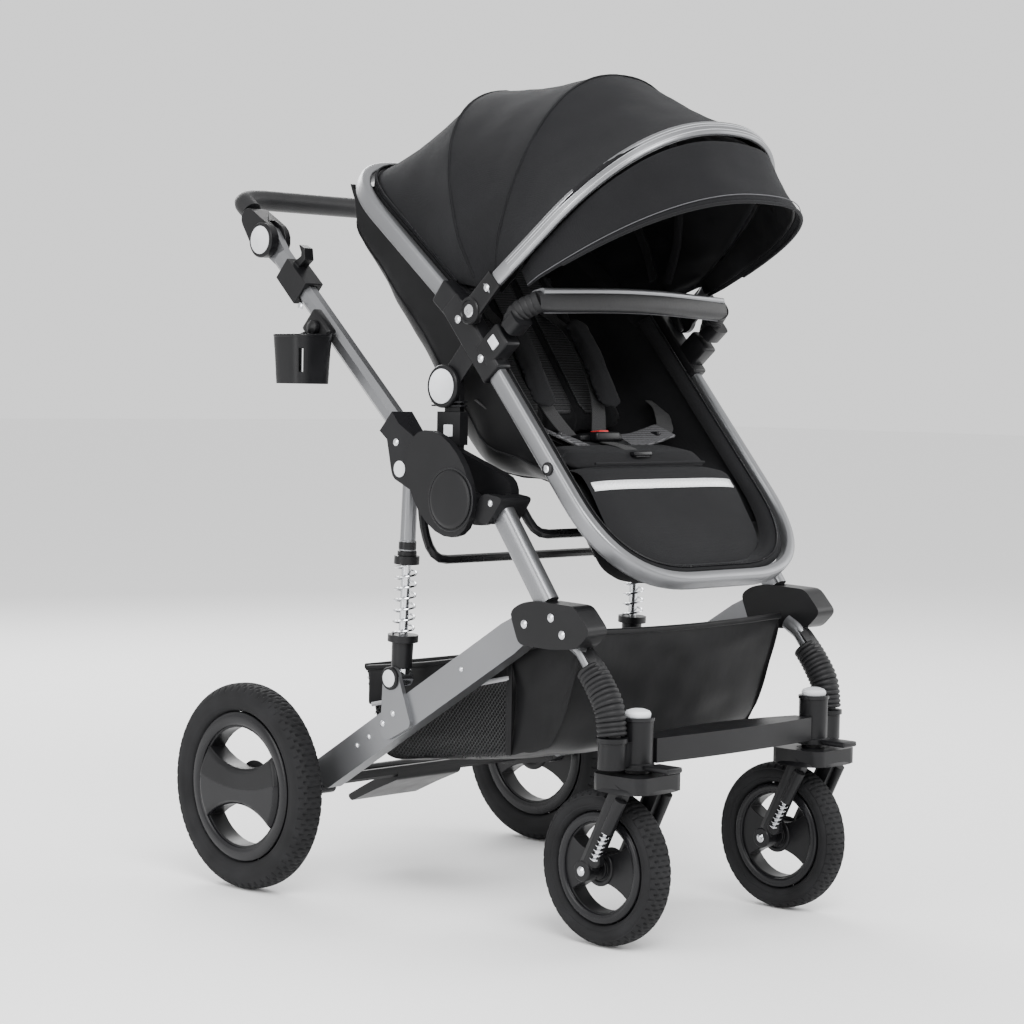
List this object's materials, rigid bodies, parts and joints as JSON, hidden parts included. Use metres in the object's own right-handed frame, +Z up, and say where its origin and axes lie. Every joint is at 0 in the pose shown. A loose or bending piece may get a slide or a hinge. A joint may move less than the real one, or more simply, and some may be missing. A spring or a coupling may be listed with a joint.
{
  "type": "baby stroller",
  "caption": "Folding four-wheeled pushchair: reclining bucket seat with hood and bumper bar on a sprung tube chassis, swivel front casters, shopping basket.",
  "frame": {"origin": "on the floor, under the middle of the bounding box", "axes": "+Z up, +X towards the child's left hand, -Y the way the child faces and the stroller is pushed"},
  "size_m": [0.596, 0.8038, 1.0853],
  "materials": {
    "frame": "satin anodised, fine grooves along the seat frame and bow",
    "plastic": "moulded, fine texture",
    "spring_steel": "polished",
    "tyre": "block tread",
    "rubber": "ribbed",
    "fabric": "matte woven polyester",
    "nylon": "sheer coated nylon",
    "leather": "grained synthetic leather",
    "button": "pale moulded plastic",
    "black_metal": "satin black paint"
  },
  "bodies": {
    "chassis": {"front_tube_right": "frame", "front_tube_left": "frame", "hub_right": "plastic", "hub_left": "plastic", "front_bracket_right": "plastic", "front_bracket_left": "plastic", "bellows_right": "rubber", "bellows_left": "rubber", "caster_housing_right": "plastic", "caster_housing_left": "plastic", "footrest": "plastic", "seat_bar_rear": "black_metal", "seat_bar_front": "black_metal", "basket": "nylon"},
    "rear_frame": {"rear_leg_right": "frame", "rear_leg_left": "frame", "rear_axle": "black_metal"},
    "brake": {"brake_pedal": "plastic"},
    "handle_frame": {"handle_tube_right": "frame", "handle_tube_left": "frame", "handle_arm_right": "black_metal", "handle_arm_left": "black_metal", "cup_holder": "plastic"},
    "grip": {"grip_joint_right": "plastic", "grip_joint_left": "plastic", "grip_bar": "leather"},
    "seat_mounts": {"seat_adapter_right": "plastic", "seat_adapter_left": "plastic"},
    "seat_unit": {"seat_block_right": "plastic", "seat_block_left": "plastic", "seat_frame_upper": "frame", "seat_frame_lower": "frame", "seat_shell": "nylon", "canopy_hood": "fabric"},
    "canopy": {"canopy_bow": "frame", "canopy_visor": "fabric"},
    "bumper": {"bumper_bar": "leather"},
    "shock_upper_right": {"shock_upper_right": "frame", "shock_spring_right": "spring_steel"},
    "shock_lower_right": {"shock_lower_right": "spring_steel"},
    "collar_right": {"release_collar_right": "plastic"},
    "caster_right": {"caster_fork_right": "plastic"},
    "front_wheel_right": {"front_tyre_right": "tyre", "front_rim_right": "plastic"},
    "rear_wheel_right": {"rear_tyre_right": "tyre", "rear_rim_right": "plastic"},
    "lock_right": {"caster_lock_right": "plastic"},
    "button_right": {"adapter_button_right": "button"},
    "shock_upper_left": {"shock_upper_left": "frame", "shock_spring_left": "spring_steel"},
    "shock_lower_left": {"shock_lower_left": "spring_steel"},
    "collar_left": {"release_collar_left": "plastic"},
    "caster_left": {"caster_fork_left": "plastic"},
    "front_wheel_left": {"front_tyre_left": "tyre", "front_rim_left": "plastic"},
    "rear_wheel_left": {"rear_tyre_left": "tyre", "rear_rim_left": "plastic"},
    "lock_left": {"caster_lock_left": "plastic"},
    "button_left": {"adapter_button_left": "button"}
  },
  "joints": [
    {"name": "handle_fold", "type": "hinge", "parent": "chassis", "child": "handle_frame", "pos_m": [0, -0.09187, 0.536], "axis": [1, 0, 0], "range_deg": [0, 100]},
    {"name": "rear_leg_fold", "type": "hinge", "parent": "chassis", "child": "rear_frame", "pos_m": [0, -0.21188, 0.3895], "axis": [1, 0, 0], "range_deg": [0, 31]},
    {"name": "grip_tilt", "type": "hinge", "parent": "handle_frame", "child": "grip", "pos_m": [0, 0.30012, 0.868], "axis": [-1, 0, 0], "range_deg": [-20, 90]},
    {"name": "brake_press", "type": "hinge", "parent": "rear_frame", "child": "brake", "pos_m": [0, 0.21213, 0.141], "axis": [-1, 0, 0], "range_deg": [0, 12]},
    {"name": "seat_lift", "type": "slide", "parent": "chassis", "child": "seat_mounts", "axis": [0, 0, 1], "range_m": [0, 0.07]},
    {"name": "seat_recline", "type": "hinge", "parent": "seat_mounts", "child": "seat_unit", "pos_m": [0, -0.02488, 0.676], "axis": [-1, 0, 0], "range_deg": [-8, 24]},
    {"name": "canopy_fold", "type": "hinge", "parent": "seat_unit", "child": "canopy", "pos_m": [0, -0.07587, 0.771], "axis": [-1, 0, 0], "range_deg": [0, 76], "deforming": ["canopy_hood"]},
    {"name": "bumper_pull", "type": "slide", "parent": "seat_unit", "child": "bumper", "axis": [0, -0.6557, 0.7551], "range_m": [0, 0.024]},
    {"name": "shock_swing_right", "type": "hinge", "parent": "handle_frame", "child": "shock_upper_right", "pos_m": [-0.218, 0.01413, 0.57], "axis": [1, 0, 0], "range_deg": [-60.1, 0]},
    {"name": "shock_travel_right", "type": "slide", "parent": "shock_upper_right", "child": "shock_lower_right", "axis": [0, -0.052, 0.9986], "range_m": [0, 0.018], "stiffness_N_per_m": 2500, "deforming": ["shock_spring_right"]},
    {"name": "collar_pull_right", "type": "slide", "parent": "handle_frame", "child": "collar_right", "axis": [0, 0.7358, 0.6772], "range_m": [0, 0.02], "stiffness_N_per_m": 600},
    {"name": "caster_swivel_right", "type": "hinge", "parent": "chassis", "child": "caster_right", "pos_m": [-0.1693, -0.34048, 0.2], "axis": [0, 0, 1], "continuous": true},
    {"name": "front_wheel_spin_right", "type": "hinge", "parent": "caster_right", "child": "front_wheel_right", "pos_m": [-0.1693, -0.29278, 0.0959], "axis": [1, 0, 0], "continuous": true},
    {"name": "rear_wheel_spin_right", "type": "hinge", "parent": "rear_frame", "child": "rear_wheel_right", "pos_m": [-0.277, 0.26412, 0.13775], "axis": [1, 0, 0], "continuous": true},
    {"name": "caster_lock_right", "type": "hinge", "parent": "chassis", "child": "lock_right", "pos_m": [-0.1693, -0.36588, 0.226], "axis": [-1, 0, 0], "range_deg": [0, 25]},
    {"name": "button_press_right", "type": "slide", "parent": "seat_mounts", "child": "button_right", "axis": [1, 0, 0], "range_m": [0, 0.0025], "stiffness_N_per_m": 400},
    {"name": "shock_swing_left", "type": "hinge", "parent": "handle_frame", "child": "shock_upper_left", "pos_m": [0.218, 0.01413, 0.57], "axis": [1, 0, 0], "range_deg": [-60.1, 0]},
    {"name": "shock_travel_left", "type": "slide", "parent": "shock_upper_left", "child": "shock_lower_left", "axis": [0, -0.052, 0.9986], "range_m": [0, 0.018], "stiffness_N_per_m": 2500, "deforming": ["shock_spring_left"]},
    {"name": "collar_pull_left", "type": "slide", "parent": "handle_frame", "child": "collar_left", "axis": [0, 0.7358, 0.6772], "range_m": [0, 0.02], "stiffness_N_per_m": 600},
    {"name": "caster_swivel_left", "type": "hinge", "parent": "chassis", "child": "caster_left", "pos_m": [0.1693, -0.34048, 0.2], "axis": [0, 0, 1], "continuous": true},
    {"name": "front_wheel_spin_left", "type": "hinge", "parent": "caster_left", "child": "front_wheel_left", "pos_m": [0.1693, -0.29278, 0.0959], "axis": [1, 0, 0], "continuous": true},
    {"name": "rear_wheel_spin_left", "type": "hinge", "parent": "rear_frame", "child": "rear_wheel_left", "pos_m": [0.277, 0.26412, 0.13775], "axis": [1, 0, 0], "continuous": true},
    {"name": "caster_lock_left", "type": "hinge", "parent": "chassis", "child": "lock_left", "pos_m": [0.1693, -0.36588, 0.226], "axis": [-1, 0, 0], "range_deg": [0, 25]},
    {"name": "button_press_left", "type": "slide", "parent": "seat_mounts", "child": "button_left", "axis": [-1, 0, 0], "range_m": [0, 0.0025], "stiffness_N_per_m": 400}
  ],
  "couplings": [
    {"joint": "rear_leg_fold", "follows": "handle_fold", "ratio": 0.31},
    {"joint": "shock_swing_right", "follows": "handle_fold", "ratio": -0.601},
    {"joint": "shock_swing_left", "follows": "handle_fold", "ratio": -0.601}
  ]
}
